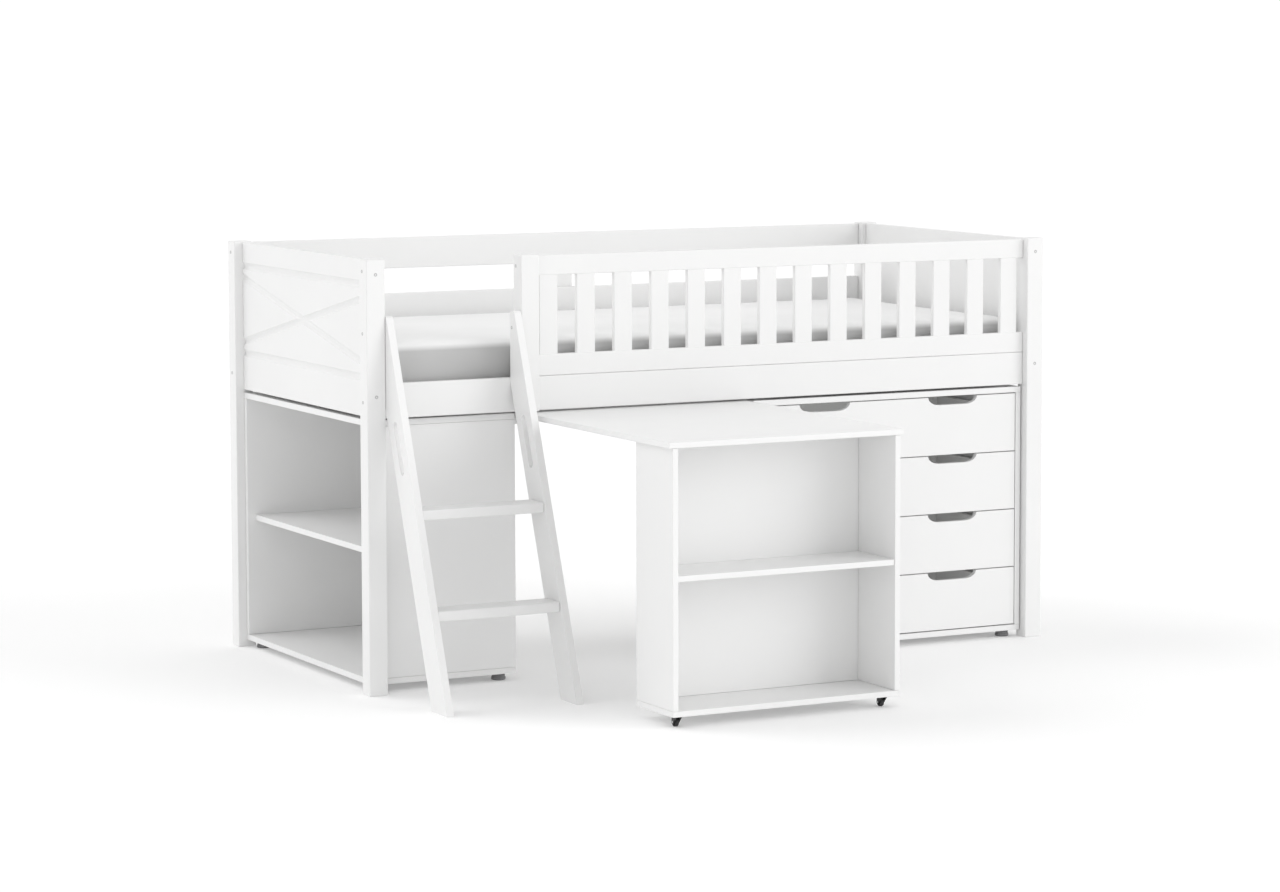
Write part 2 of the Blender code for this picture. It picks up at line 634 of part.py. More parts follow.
def fork_mesh(name):
    """Side view of a caster's plate and raked legs, extruded across the wheel."""
    plate_low = DESK_BASE_BOTTOM - GAP - CASTER_PLATE_THICKNESS
    plate_high = DESK_BASE_BOTTOM - GAP
    half = CASTER_PLATE / 2
    axle = (CASTER_TRAIL, WHEEL_RADIUS)
    outline = [(-half, plate_high), (-half, plate_low), (-0.011, plate_low)]
    for index in range(7):
        angle = math.radians(215 + 145 * index / 6)
        outline.append((axle[0] + FORK_END_RADIUS * math.cos(angle),
                        axle[1] + FORK_END_RADIUS * math.sin(angle)))
    outline += [(half - 0.002, plate_low), (half, plate_low), (half, plate_high)]
    curve = bpy.data.curves.new(name, "CURVE")
    curve.dimensions = "2D"
    curve.fill_mode = "BOTH"
    curve.extrude = FORK_WIDTH / 2
    spline = curve.splines.new("POLY")
    spline.points.add(len(outline) - 1)
    spline.use_cyclic_u = True
    for point, (across, up) in zip(spline.points, outline):
        point.co = (across, up, 0.0, 1.0)
    shape = bpy.data.objects.new(name, curve)
    PARTS.objects.link(shape)
    depsgraph = bpy.context.evaluated_depsgraph_get()
    mesh = bpy.data.meshes.new_from_object(shape.evaluated_get(depsgraph))
    bpy.data.objects.remove(shape, do_unlink=True)
    mesh.name = name
    bm = bmesh.new()
    bm.from_mesh(mesh)
    bmesh.ops.remove_doubles(bm, verts=bm.verts, dist=WELD / 10)
    stand_up = Matrix.Rotation(math.pi / 2, 3, "X")
    face_along_y = Matrix.Rotation(math.pi / 2, 3, "Z")
    bmesh.ops.rotate(bm, verts=bm.verts, cent=(0.0, 0.0, 0.0), matrix=face_along_y @ stand_up)
    bmesh.ops.recalc_face_normals(bm, faces=bm.faces)
    bm.to_mesh(mesh)
    bm.free()
    mesh.materials.clear()
    return mesh


def caster(side, x, y, desk_empty):
    """A swivel caster: its fork turns about the upright pin, its wheel about the axle."""
    fork = add_object(f"caster_fork_{side}", fork_mesh(f"caster_fork_{side}"),
                      "caster_fork", place(x, y, 0.0), desk_empty)
    axle = place(x, y + CASTER_TRAIL, WHEEL_RADIUS)
    slot_low = -0.010
    slot_high = DESK_BASE_BOTTOM - GAP - CASTER_PLATE_THICKNESS
    slot_boxes = [((-FORK_SLOT / 2, FORK_SLOT / 2), (-0.05, 0.05), (slot_low, slot_high))]
    slot = add_cutter(f"fork_slot_{side}",
                      cube_mesh(f"fork_slot_{side}", slot_boxes, Vector((0.0, 0.0, 0.0))),
                      place(x, y, 0.0))
    join_or_cut(fork, slot, "DIFFERENCE")
    bm = bmesh.new()
    bmesh.ops.create_cone(bm, cap_ends=True, segments=16, radius1=AXLE_HOLE_RADIUS,
                          radius2=AXLE_HOLE_RADIUS, depth=2 * FORK_WIDTH)
    hole_mesh = bpy.data.meshes.new(f"axle_hole_{side}")
    bm.to_mesh(hole_mesh)
    bm.free()
    hole = add_cutter(f"axle_hole_{side}", hole_mesh, axle, (0.0, math.pi / 2, 0.0))
    join_or_cut(fork, hole, "DIFFERENCE")
    wheel = add_object(f"caster_wheel_{side}", wheel_mesh(f"caster_wheel_{side}"),
                       "caster_black", axle, fork, (0.0, math.pi / 2, 0.0))
    turn = wheel.modifiers.new("turned", "SCREW")
    turn.axis = "Z"
    turn.steps = WHEEL_STEPS
    turn.render_steps = WHEEL_STEPS
    turn.use_merge_vertices = True
    turn.merge_threshold = WELD / 10


def desk():
    """Pull-out desk: a long top on a shallow open base, with two casters under its front."""
    slide = bpy.data.objects.new("desk_slide", None)
    PARTS.objects.link(slide)
    slide.location = place(sum(DESK_X) / 2, DESK_FRONT, DESK_TOP)
    front = DESK_FRONT
    underside = DESK_TOP - DESK_BOARD
    base_x = (DESK_X[0] + DESK_OVERHANG, DESK_X[1] - DESK_OVERHANG)
    base_y = (front, front + DESK_BASE_DEPTH)
    inside_x = (base_x[0] + DESK_BOARD + GAP, base_x[1] - DESK_BOARD - GAP)
    bottom_top = DESK_BASE_BOTTOM + DESK_BOARD
    side_z = (bottom_top + GAP, underside - GAP)
    board("desk_top", DESK_X, (front, front + DESK_LENGTH), (underside, DESK_TOP), parent=slide)
    board("desk_bottom", base_x, base_y, (DESK_BASE_BOTTOM, bottom_top), parent=slide)
    board("desk_side_left", (base_x[0], base_x[0] + DESK_BOARD), base_y, side_z, parent=slide)
    board("desk_side_right", (base_x[1] - DESK_BOARD, base_x[1]), base_y, side_z, parent=slide)
    board("desk_back", inside_x, (base_y[1] - DESK_BOARD, base_y[1]), side_z, parent=slide)
    board("desk_shelf", inside_x, (front + DESK_SHELF_SET_BACK, base_y[1] - DESK_BOARD - GAP),
          (DESK_SHELF_BOTTOM, DESK_SHELF_BOTTOM + DESK_BOARD), parent=slide)
    left = base_x[0] + CASTER_INSET_X
    right = base_x[1] - CASTER_INSET_X
    near = base_y[0] + CASTER_INSET_Y
    caster("left", left, near, slide)
    caster("right", right, near, slide)


corner_posts()
middle_post()
end_panels()
side_rails()
back_rails()
guard_rail()
sleeping_surface()
ladder()
bookcase()
chest()
desk()
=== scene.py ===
"""Loft bed with a pull-out desk: lacquered boards, mattress, fittings, light and camera.

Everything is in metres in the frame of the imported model, with the origin on the floor under
the middle of the object, +X along the bed and +Y towards the wall.
"""
import json
import math

import bmesh
import bpy
from mathutils import Matrix, Vector

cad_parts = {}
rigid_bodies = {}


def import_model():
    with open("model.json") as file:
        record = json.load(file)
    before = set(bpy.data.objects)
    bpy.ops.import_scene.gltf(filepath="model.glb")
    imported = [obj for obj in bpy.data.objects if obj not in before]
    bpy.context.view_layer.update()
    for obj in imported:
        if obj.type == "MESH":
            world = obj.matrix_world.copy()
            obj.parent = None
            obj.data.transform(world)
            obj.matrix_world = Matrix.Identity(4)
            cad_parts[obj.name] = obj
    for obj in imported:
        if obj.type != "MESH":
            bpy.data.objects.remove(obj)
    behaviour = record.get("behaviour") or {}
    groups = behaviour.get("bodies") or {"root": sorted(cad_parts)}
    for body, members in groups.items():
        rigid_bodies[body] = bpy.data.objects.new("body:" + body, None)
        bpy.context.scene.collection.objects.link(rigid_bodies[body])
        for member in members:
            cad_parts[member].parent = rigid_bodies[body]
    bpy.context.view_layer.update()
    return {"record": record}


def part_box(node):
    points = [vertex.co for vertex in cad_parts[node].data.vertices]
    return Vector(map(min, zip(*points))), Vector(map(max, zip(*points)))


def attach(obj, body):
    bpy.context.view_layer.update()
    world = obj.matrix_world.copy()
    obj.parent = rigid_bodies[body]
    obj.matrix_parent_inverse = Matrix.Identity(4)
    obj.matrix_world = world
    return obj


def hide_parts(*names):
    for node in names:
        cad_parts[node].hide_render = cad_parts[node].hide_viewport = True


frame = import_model()
BODY_OF = {}
for body_name, members in frame["record"]["behaviour"]["bodies"].items():
    for member in members:
        BODY_OF[member] = body_name

# --- dimensions ---------------------------------------------------------------------------

SOLID_EDGE = 0.0028       # rounding of posts, rails, bars and ladder
BOARD_EDGE = 0.0012       # rounding of the cabinets' boards
TOP_EDGE = 0.0018         # rounding of the desk's top
RAIL_THICKNESS = 0.018
LEDGE_RISE = 0.0105
LEDGE_HEIGHT = 0.020
GUARD_BARS = 14
GUARD_BAR_WIDTH = 0.054
GUARD_TOP_HEIGHT = 0.053
GUARD_BOTTOM_HEIGHT = 0.057
GUARD_LEFT_GAP = 0.011
GUARD_RIGHT_GAP = 0.021
GUARD_BAR_SET_BACK = 0.0015
GROOVE_RADIUS = 0.0113
GROOVE_DEPTH = 0.006
GROOVE_MIDDLE_Z = 0.9515
GROOVE_LEVEL = 0.1215
GROOVE_CROSS_END = 0.091
BASE_SLATS = 14
BASE_SLAT_WIDTH = 0.070
STRAP_WIDTH = 0.025
STRAP_INSET = 0.220
LADDER_RISE = 2.73
STRINGER_DEPTH = 0.0945
GRIP_SLOT_BOTTOM = 0.588
GRIP_SLOT_TOP = 0.723
GRIP_SLOT_WIDTH = 0.024
SCOOP_HALF_WIDTH = 0.080
SCOOP_FLAT_HALF_WIDTH = 0.042
SCOOP_DEPTH = 0.022
DRAWER_WALL = 0.012
DRAWER_FLOOR = 0.004
CASTER_PLATE_THICKNESS = 0.0026
FORK_SLOT = 0.0112
FORK_END_RADIUS = 0.0052
WHEEL_RADIUS = 0.0115
WHEEL_HALF_WIDTH = 0.005
CABINET_BOARD = 0.016
RUNNER_HEIGHT = 0.018
GAP = 0.0003              # between pieces that touch

# --- materials ----------------------------------------------------------------------------


def new_material(name):
    """A material with its Principled shader, ready for texture nodes."""
    material = bpy.data.materials.new(name)
    material.use_nodes = True
    tree = material.node_tree
    shader = tree.nodes["Principled BSDF"]
    return material, tree, shader


def add_node(tree, kind, **values):
    """A shader node with its inputs and attributes set by name."""
    made = tree.nodes.new(kind)
    for key, value in values.items():
        if hasattr(made, key):
            setattr(made, key, value)
        else:
            made.inputs[key.replace("_", " ")].default_value = value
    return made


def noise_from(tree, scale, stretch=(1.0, 1.0, 1.0), detail=3.0, roughness=0.5):
    """Noise in object space; scale is in features per metre."""
    coordinates = tree.nodes.new("ShaderNodeTexCoord")
    mapping = tree.nodes.new("ShaderNodeMapping")
    mapping.inputs["Scale"].default_value = stretch
    texture = tree.nodes.new("ShaderNodeTexNoise")
    texture.inputs["Scale"].default_value = scale
    texture.inputs["Detail"].default_value = detail
    texture.inputs["Roughness"].default_value = roughness
    tree.links.new(coordinates.outputs["Object"], mapping.inputs["Vector"])
    tree.links.new(mapping.outputs["Vector"], texture.inputs["Vector"])
    return texture.outputs["Fac"]


def ramp(tree, source, stops):
    """Colours along a factor; stops lists (position, colour)."""
    made = tree.nodes.new("ShaderNodeValToRGB")
    elements = made.color_ramp.elements
    elements[0].position, elements[0].color = stops[0][0], (*stops[0][1], 1.0)
    elements[1].position, elements[1].color = stops[-1][0], (*stops[-1][1], 1.0)
    for position, colour in stops[1:-1]:
        elements.new(position).color = (*colour, 1.0)
    tree.links.new(source, made.inputs["Fac"])
    return made.outputs["Color"]


def remap(tree, source, low, high):
    """A factor stretched between two values."""
    made = tree.nodes.new("ShaderNodeMapRange")
    made.inputs["From Min"].default_value = 0.3
    made.inputs["From Max"].default_value = 0.7
    made.inputs["To Min"].default_value = low
    made.inputs["To Max"].default_value = high
    tree.links.new(source, made.inputs["Value"])
    return made.outputs["Result"]


def add_bump(tree, shader, source, strength, distance, below=None):
    """Bump from a height, on top of an earlier bump if one is given."""
    made = tree.nodes.new("ShaderNodeBump")
    made.inputs["Strength"].default_value = strength
    made.inputs["Distance"].default_value = distance
    tree.links.new(source, made.inputs["Height"])
    if below is not None:
        tree.links.new(below, made.inputs["Normal"])
    tree.links.new(made.outputs["Normal"], shader.inputs["Normal"])
    return made.outputs["Normal"]


def lacquer(name, tint, grain, peel=0.10, gloss=0.36):
    """Satin paint over wood: faint tone changes, the grain telegraphing through, fine peel."""
    material, tree, shader = new_material(name)
    tone = noise_from(tree, 2.2, detail=2.0)
    darker = tuple(channel * 0.982 for channel in tint)
    tree.links.new(ramp(tree, tone, [(0.35, darker), (0.65, tint)]), shader.inputs["Base Color"])
    smear = noise_from(tree, 14.0, detail=2.0)
    tree.links.new(remap(tree, smear, gloss - 0.04, gloss + 0.05), shader.inputs["Roughness"])
    fibres = noise_from(tree, 90.0, grain, detail=4.0, roughness=0.6)
    lower = add_bump(tree, shader, fibres, 0.12, 0.0006)
    orange = noise_from(tree, 420.0, detail=1.0)
    add_bump(tree, shader, orange, peel, 0.0003, lower)
    shader.inputs["Coat Weight"].default_value = 0.12
    shader.inputs["Coat Roughness"].default_value = 0.28
    return material


WHITE = (0.860, 0.860, 0.857)
ALONG_X = (0.05, 1.0, 1.0)
ALONG_Y = (1.0, 0.05, 1.0)
ALONG_Z = (1.0, 1.0, 0.05)
PAINT_X = lacquer("lacquer_grain_x", WHITE, ALONG_X)
PAINT_Y = lacquer("lacquer_grain_y", WHITE, ALONG_Y)
PAINT_Z = lacquer("lacquer_grain_z", WHITE, ALONG_Z)
PAINT_BOARD = lacquer("lacquer_board", WHITE, (1.0, 1.0, 1.0), peel=0.14, gloss=0.40)
FOIL = lacquer("white_foil", (0.83, 0.83, 0.825), (1.0, 1.0, 1.0), peel=0.20, gloss=0.50)


SIDE_SHADE_TOP = 0.901          # height below which the mattress's sides are painted greyer, as painted shade


def ticking():
    """Closely woven mattress cover; its sides are painted greyer than its top, as painted shade.
    """
    material, tree, shader = new_material("mattress_ticking")
    coordinates = tree.nodes.new("ShaderNodeTexCoord")
    heights = []
    for direction in ("X", "Y", "Z"):
        wave = tree.nodes.new("ShaderNodeTexWave")
        wave.bands_direction = direction
        wave.inputs["Scale"].default_value = 150.0
        wave.inputs["Distortion"].default_value = 1.2
        wave.inputs["Detail Scale"].default_value = 2.0
        tree.links.new(coordinates.outputs["Object"], wave.inputs["Vector"])
        heights.append(wave.outputs["Fac"])
    woven = heights[0]
    for other in heights[1:]:
        mixed = add_node(tree, "ShaderNodeMath", operation="ADD")
        tree.links.new(woven, mixed.inputs[0])
        tree.links.new(other, mixed.inputs[1])
        woven = mixed.outputs["Value"]
    threads = add_bump(tree, shader, woven, 0.10, 0.0004)
    folds = noise_from(tree, 9.0, (1.0, 1.0, 1.6), detail=3.0)
    add_bump(tree, shader, folds, 0.10, 0.004, threads)
    tone = noise_from(tree, 5.0, detail=2.0)
    top = ramp(tree, tone, [(0.3, (0.840, 0.840, 0.837)), (0.7, (0.870, 0.870, 0.868))])
    # Greyer colour for the mattress's sides below a set height: painted shade, in place of the
    # shade the lights leave out.
    painted_side_shade = ramp(tree, tone, [(0.3, (0.480, 0.480, 0.478)), (0.7, (0.515, 0.515, 0.513))])
    level = tree.nodes.new("ShaderNodeSeparateXYZ")
    tree.links.new(coordinates.outputs["Object"], level.inputs["Vector"])
    edge = tree.nodes.new("ShaderNodeMapRange")
    edge.inputs["From Min"].default_value = SIDE_SHADE_TOP - 0.008
    edge.inputs["From Max"].default_value = SIDE_SHADE_TOP + 0.006
    tree.links.new(level.outputs["Z"], edge.inputs["Value"])
    blend = add_node(tree, "ShaderNodeMix", data_type="RGBA")
    tree.links.new(edge.outputs["Result"], blend.inputs["Factor"])
    tree.links.new(painted_side_shade, blend.inputs["A"])
    tree.links.new(top, blend.inputs["B"])
    tree.links.new(blend.outputs["Result"], shader.inputs["Base Color"])
    slubs = noise_from(tree, 260.0, (0.2, 1.0, 1.0), detail=2.0)
    tree.links.new(remap(tree, slubs, 0.82, 0.94), shader.inputs["Roughness"])
    shader.inputs["Sheen Weight"].default_value = 0.25
    shader.inputs["Sheen Roughness"].default_value = 0.5
    return material


def pine():
    """Whitewashed slats: growth rings stretched along Y, with darker late wood."""
    material, tree, shader = new_material("slat_pine")
    rings = noise_from(tree, 55.0, (1.0, 0.04, 1.0), detail=5.0, roughness=0.62)
    stops = [(0.30, (0.70, 0.68, 0.65)), (0.48, (0.78, 0.77, 0.75)), (0.70, (0.81, 0.80, 0.79))]
    tree.links.new(ramp(tree, rings, stops), shader.inputs["Base Color"])
    tree.links.new(remap(tree, rings, 0.70, 0.55), shader.inputs["Roughness"])
    add_bump(tree, shader, rings, 0.25, 0.0006)
    return material


def plastic(name, low, high, roughness, scale=300.0, bump=0.15):
    """Moulded plastic with a fine texture and slight tone changes."""
    material, tree, shader = new_material(name)
    tone = noise_from(tree, 35.0, detail=2.0)
    tree.links.new(ramp(tree, tone, [(0.35, low), (0.65, high)]), shader.inputs["Base Color"])
    grains = noise_from(tree, scale, detail=2.0)
    wear = remap(tree, grains, roughness - 0.05, roughness + 0.06)
    tree.links.new(wear, shader.inputs["Roughness"])
    add_bump(tree, shader, grains, bump, 0.0003)
    return material


def metal(name, low, high, roughness, stretch=(1.0, 1.0, 0.08)):
    """Plated steel with fine drawn lines."""
    material, tree, shader = new_material(name)
    lines = noise_from(tree, 700.0, stretch, detail=3.0)
    tree.links.new(ramp(tree, lines, [(0.3, low), (0.7, high)]), shader.inputs["Base Color"])
    wear = remap(tree, lines, roughness - 0.05, roughness + 0.08)
    tree.links.new(wear, shader.inputs["Roughness"])
    add_bump(tree, shader, lines, 0.08, 0.0002)
    shader.inputs["Metallic"].default_value = 1.0
    return material


TICKING = ticking()
PINE = pine()
WEBBING = plastic("strap_webbing", (0.55, 0.55, 0.53), (0.66, 0.66, 0.64), 0.85, 900.0, 0.5)
FOOT_GREY = plastic("foot_plastic", (0.17, 0.17, 0.175), (0.22, 0.22, 0.225), 0.45)
BLACK = plastic("caster_plastic", (0.010, 0.010, 0.010), (0.018, 0.018, 0.019), 0.38)
RUBBER = plastic("caster_tyre", (0.014, 0.014, 0.015), (0.028, 0.028, 0.029), 0.72, 500.0, 0.3)
ZINC = metal("zinc_plate", (0.52, 0.53, 0.54), (0.68, 0.69, 0.70), 0.34)
CAP_GREY = plastic("bolt_cap", (0.50, 0.50, 0.50), (0.58, 0.58, 0.58), 0.35)

# --- making pieces ------------------------------------------------------------------------


def finish_piece(name, mesh, material, body, nodes=(), matrix=None):
    """Link a piece, ride it on its body, and hide the solids it stands for."""
    made = bpy.data.objects.new(name, mesh)
    bpy.context.scene.collection.objects.link(made)
    if matrix is not None:
        made.matrix_world = matrix
    mesh.materials.clear()
    mesh.materials.append(material)
    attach(made, body)
    if nodes:
        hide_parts(*nodes)
    return made


def even_shading(made):
    """Smooth rounded edges against flat faces."""
    made.data.shade_smooth()
    weighted = made.modifiers.new("even_shading", "WEIGHTED_NORMAL")
    weighted.keep_sharp = True
    weighted.weight = 80
    return made


def rounded_mesh(name, low, high, radius, segments=3):
    """A box with every edge rounded."""
    size = Vector(high) - Vector(low)
    middle = (Vector(high) + Vector(low)) / 2
    bm = bmesh.new()
    matrix = Matrix.Translation(middle) @ Matrix.Diagonal((*size, 1.0))
    bmesh.ops.create_cube(bm, size=1.0, matrix=matrix)
    width = min(radius, min(size) * 0.45)
    bmesh.ops.bevel(bm, geom=bm.edges[:], offset=width, segments=segments, profile=0.5,
                    affect="EDGES", clamp_overlap=True)
    mesh = bpy.data.meshes.new(name)
    bm.to_mesh(mesh)
    bm.free()
    return mesh


def board(name, low, high, material, body, nodes=(), radius=BOARD_EDGE):
    """A rounded board between two corners."""
    mesh = rounded_mesh(name, low, high, radius)
    return even_shading(finish_piece(name, mesh, material, body, nodes))


def board_for(node, material, radius=BOARD_EDGE):
    """A rounded board in place of a CAD node that is a plain board."""
    low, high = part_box(node)
    return board(f"{node}_look", low, high, material, BODY_OF[node], (node,), radius)


def outline_mesh(name, outlines, axis, start, end):
    """Extrude an outline, less its holes, along X from (y, z) or along Y from (x, z)."""
    curve = bpy.data.curves.new(name, "CURVE")
    curve.dimensions = "2D"
    curve.fill_mode = "BOTH"
    curve.extrude = (end - start) / 2
    for outline in outlines:
        spline = curve.splines.new("POLY")
        spline.points.add(len(outline) - 1)
        spline.use_cyclic_u = True
        for point, (across, up) in zip(spline.points, outline):
            point.co = (across, up, 0.0, 1.0)
    holder = bpy.data.objects.new(name, curve)
    bpy.context.scene.collection.objects.link(holder)
    depsgraph = bpy.context.evaluated_depsgraph_get()
    mesh = bpy.data.meshes.new_from_object(holder.evaluated_get(depsgraph))
    bpy.data.objects.remove(holder, do_unlink=True)
    middle = (start + end) / 2
    stand = Matrix.Rotation(math.pi / 2, 4, "X")
    if axis == "X":
        place = Matrix.Translation((middle, 0.0, 0.0)) @ Matrix.Rotation(math.pi / 2, 4, "Z")
    else:
        place = Matrix.Translation((0.0, middle, 0.0))
    bm = bmesh.new()
    bm.from_mesh(mesh)
    bmesh.ops.remove_doubles(bm, verts=bm.verts[:], dist=0.00001)
    bmesh.ops.transform(bm, matrix=place @ stand, verts=bm.verts[:])
    bmesh.ops.recalc_face_normals(bm, faces=bm.faces[:])
    bm.to_mesh(mesh)
    bm.free()
    mesh.name = name
    return mesh


def soften(made, radius, segments=3, angle=38.0):
    """Round a piece's sharp edges and shade it evenly."""
    bevel = made.modifiers.new("rounded_edges", "BEVEL")
    bevel.width = radius
    bevel.segments = segments
    bevel.limit_method = "ANGLE"
    bevel.angle_limit = math.radians(angle)
    return even_shading(made)


def turned_mesh(name, profile, steps=48):
    """A closed profile of (radius, height) points turned about Z."""
    bm = bmesh.new()
    verts = [bm.verts.new((radius, 0.0, height)) for radius, height in profile]
    edges = [bm.edges.new(pair) for pair in zip(verts, verts[1:])]
    bmesh.ops.spin(bm, geom=verts + edges, cent=(0.0, 0.0, 0.0), axis=(0.0, 0.0, 1.0),
                   angle=2 * math.pi, steps=steps, use_merge=True)
    bmesh.ops.remove_doubles(bm, verts=bm.verts[:], dist=0.00001)
    bmesh.ops.recalc_face_normals(bm, faces=bm.faces[:])
    mesh = bpy.data.meshes.new(name)
    bm.to_mesh(mesh)
    bm.free()
    mesh.shade_smooth()
    mesh.set_sharp_from_angle(angle=math.radians(35))
    return mesh


# --- bed frame ----------------------------------------------------------------------------

for post in ("post_front_left", "post_front_right", "post_back_left", "post_back_right"):
    board_for(post, PAINT_Z, SOLID_EDGE)
for rail in ("back_rail_lower", "back_rail_upper"):
    board_for(rail, PAINT_X, SOLID_EDGE)
board_for("back_centre_batten", PAINT_Z, 0.0015)


def middle_post():
    """Short post that laps over the side rail below the guard."""
    low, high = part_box("post_front_middle")
    rail_low, rail_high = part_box("side_rail_front")
    lap_y = rail_low.y - GAP
    lap_z = rail_high.z + GAP
    outline = [(low.y, low.z), (lap_y, low.z), (lap_y, lap_z), (high.y, lap_z),
               (high.y, high.z), (low.y, high.z)]
    mesh = outline_mesh("post_front_middle_look", [outline], "X", low.x, high.x)
    made = finish_piece("post_front_middle_look", mesh, PAINT_Z, "bed", ("post_front_middle",))
    soften(made, SOLID_EDGE)


def side_rail(node, outer_is_low):
    """A side rail and the ledge screwed inside it."""
    low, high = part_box(node)
    if outer_is_low:
        rail_y = (low.y, low.y + RAIL_THICKNESS)
        ledge_y = (low.y + RAIL_THICKNESS + 0.0002, high.y)
    else:
        rail_y = (high.y - RAIL_THICKNESS, high.y)
        ledge_y = (low.y, high.y - RAIL_THICKNESS - 0.0002)
    ledge_z = low.z + LEDGE_RISE
    board(f"{node}_look", (low.x, rail_y[0], low.z), (high.x, rail_y[1], high.z), PAINT_X,
          "bed", (node,), SOLID_EDGE)
    board(f"{node}_ledge", (low.x, ledge_y[0], ledge_z),
          (high.x, ledge_y[1], ledge_z + LEDGE_HEIGHT), PAINT_X, "bed", (), 0.0015)


def end_panel(node, outer_side):
    """End panel with two level and two crossed round-bottomed grooves outside."""
    low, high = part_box(node)
    mesh = rounded_mesh(f"{node}_look", low, high, 0.002)
    made = finish_piece(f"{node}_look", mesh, PAINT_BOARD, "bed", (node,))
    face = low.x if outer_side < 0 else high.x
    axis_x = face + outer_side * (GROOVE_RADIUS - GROOVE_DEPTH)
    middle_y = (low.y + high.y) / 2
    half = (high.y - low.y) / 2
    reach = half + 0.05
    slope = GROOVE_CROSS_END / half
    grooves = [(GROOVE_MIDDLE_Z + GROOVE_LEVEL, 0.0), (GROOVE_MIDDLE_Z - GROOVE_LEVEL, 0.0),
               (GROOVE_MIDDLE_Z, slope), (GROOVE_MIDDLE_Z, -slope)]
    for index, (height, rise) in enumerate(grooves):
        run = Vector((0.0, 1.0, rise)).normalized()
        turn = Vector((0.0, 0.0, 1.0)).rotation_difference(run).to_matrix().to_4x4()
        matrix = Matrix.Translation((axis_x, middle_y, height)) @ turn
        bm = bmesh.new()
        bmesh.ops.create_cone(bm, cap_ends=True, segments=72, radius1=GROOVE_RADIUS,
                              radius2=GROOVE_RADIUS, depth=2 * reach / run.y, matrix=matrix)
        tool_mesh = bpy.data.meshes.new("groove_tool")
        bm.to_mesh(tool_mesh)
        bm.free()
        tool = bpy.data.objects.new(f"groove_tool_{index}", tool_mesh)
        bpy.context.scene.collection.objects.link(tool)
        cut = made.modifiers.new(f"groove_{index}", "BOOLEAN")
        cut.operation = "DIFFERENCE"
        cut.solver = "EXACT"
        cut.object = tool
    depsgraph = bpy.context.evaluated_depsgraph_get()
    cut_mesh = bpy.data.meshes.new_from_object(made.evaluated_get(depsgraph))
    made.modifiers.clear()
    made.data = cut_mesh
    for index in range(len(grooves)):
        bpy.data.objects.remove(bpy.data.objects[f"groove_tool_{index}"], do_unlink=True)
    cut_mesh.shade_smooth()
    cut_mesh.set_sharp_from_angle(angle=math.radians(35))
    soften(made, 0.0012, 2, 35.0)


def guard():
    """Guard: two rails and the bars let into them."""
    low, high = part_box("guard_rail")
    bottom_top = low.z + GUARD_BOTTOM_HEIGHT
    top_bottom = high.z - GUARD_TOP_HEIGHT
    board("guard_rail_top", (low.x, low.y, top_bottom), high, PAINT_X, "bed",
          ("guard_rail",), SOLID_EDGE)
    board("guard_rail_bottom", low, (high.x, high.y, bottom_top), PAINT_X, "bed",
          ("guard_rail",), SOLID_EDGE)
    first = low.x + GUARD_LEFT_GAP
    last = high.x - GUARD_RIGHT_GAP - GUARD_BAR_WIDTH
    pitch = (last - first) / (GUARD_BARS - 1)
    for index in range(GUARD_BARS):
        x = first + index * pitch
        start = (x, low.y + GUARD_BAR_SET_BACK, bottom_top - 0.008)
        end = (x + GUARD_BAR_WIDTH, high.y - GUARD_BAR_SET_BACK, top_bottom + 0.008)
        board(f"guard_bar_{index + 1:02d}", start, end, PAINT_Z, "bed", ("guard_rail",), 0.0022)


def slats():
    """Sprung slats on the ledges, with two woven straps that keep their spacing."""
    low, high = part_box("slatted_base")
    pitch = (high.x - low.x - BASE_SLAT_WIDTH) / (BASE_SLATS - 1)
    for index in range(BASE_SLATS):
        x = low.x + index * pitch
        board(f"base_slat_{index + 1:02d}", (x, low.y, low.z + 0.0005),
              (x + BASE_SLAT_WIDTH, high.y, high.z), PINE, "bed", ("slatted_base",), 0.003)
    for index, y in enumerate((low.y + STRAP_INSET, high.y - STRAP_INSET)):
        board(f"base_strap_{index + 1}", (low.x + 0.002, y - STRAP_WIDTH / 2, low.z - 0.0012),
              (high.x - 0.002, y + STRAP_WIDTH / 2, low.z + 0.0003), WEBBING, "bed", (),
              0.0004)


middle_post()
side_rail("side_rail_front", True)
side_rail("side_rail_back", False)
end_panel("end_panel_left", -1)
end_panel("end_panel_right", 1)
guard()
slats()

# --- ladder -------------------------------------------------------------------------------


def stadium(start, end, width, steps=12):
    """Outline of a slot with round ends."""
    direction = math.atan2(end[1] - start[1], end[0] - start[0])
    points = []
    for centre, facing in ((end, direction), (start, direction + math.pi)):
        for index in range(steps + 1):
            angle = facing - math.pi / 2 + math.pi * index / steps
            points.append((centre[0] + width / 2 * math.cos(angle),
                           centre[1] + width / 2 * math.sin(angle)))
    return points


def corner_arc(corner, before, after, radius, steps=6):
    """Points of a rounded corner between two neighbours of an outline."""
    corner, before, after = Vector(corner), Vector(before), Vector(after)
    to_before = (before - corner).normalized()
    to_after = (after - corner).normalized()
    half = to_before.angle(to_after) / 2
    centre = corner + (to_before + to_after).normalized() * radius / math.sin(half)
    reach = radius / math.tan(half)
    start = corner + to_before * reach - centre
    end = corner + to_after * reach - centre
    first = math.atan2(start.y, start.x)
    sweep = math.atan2(end.y, end.x) - first
    sweep = (sweep + math.pi) % (2 * math.pi) - math.pi
    points = []
    for index in range(steps + 1):
        angle = first + sweep * index / steps
        points.append((centre.x + radius * math.cos(angle), centre.y + radius * math.sin(angle)))
    return points


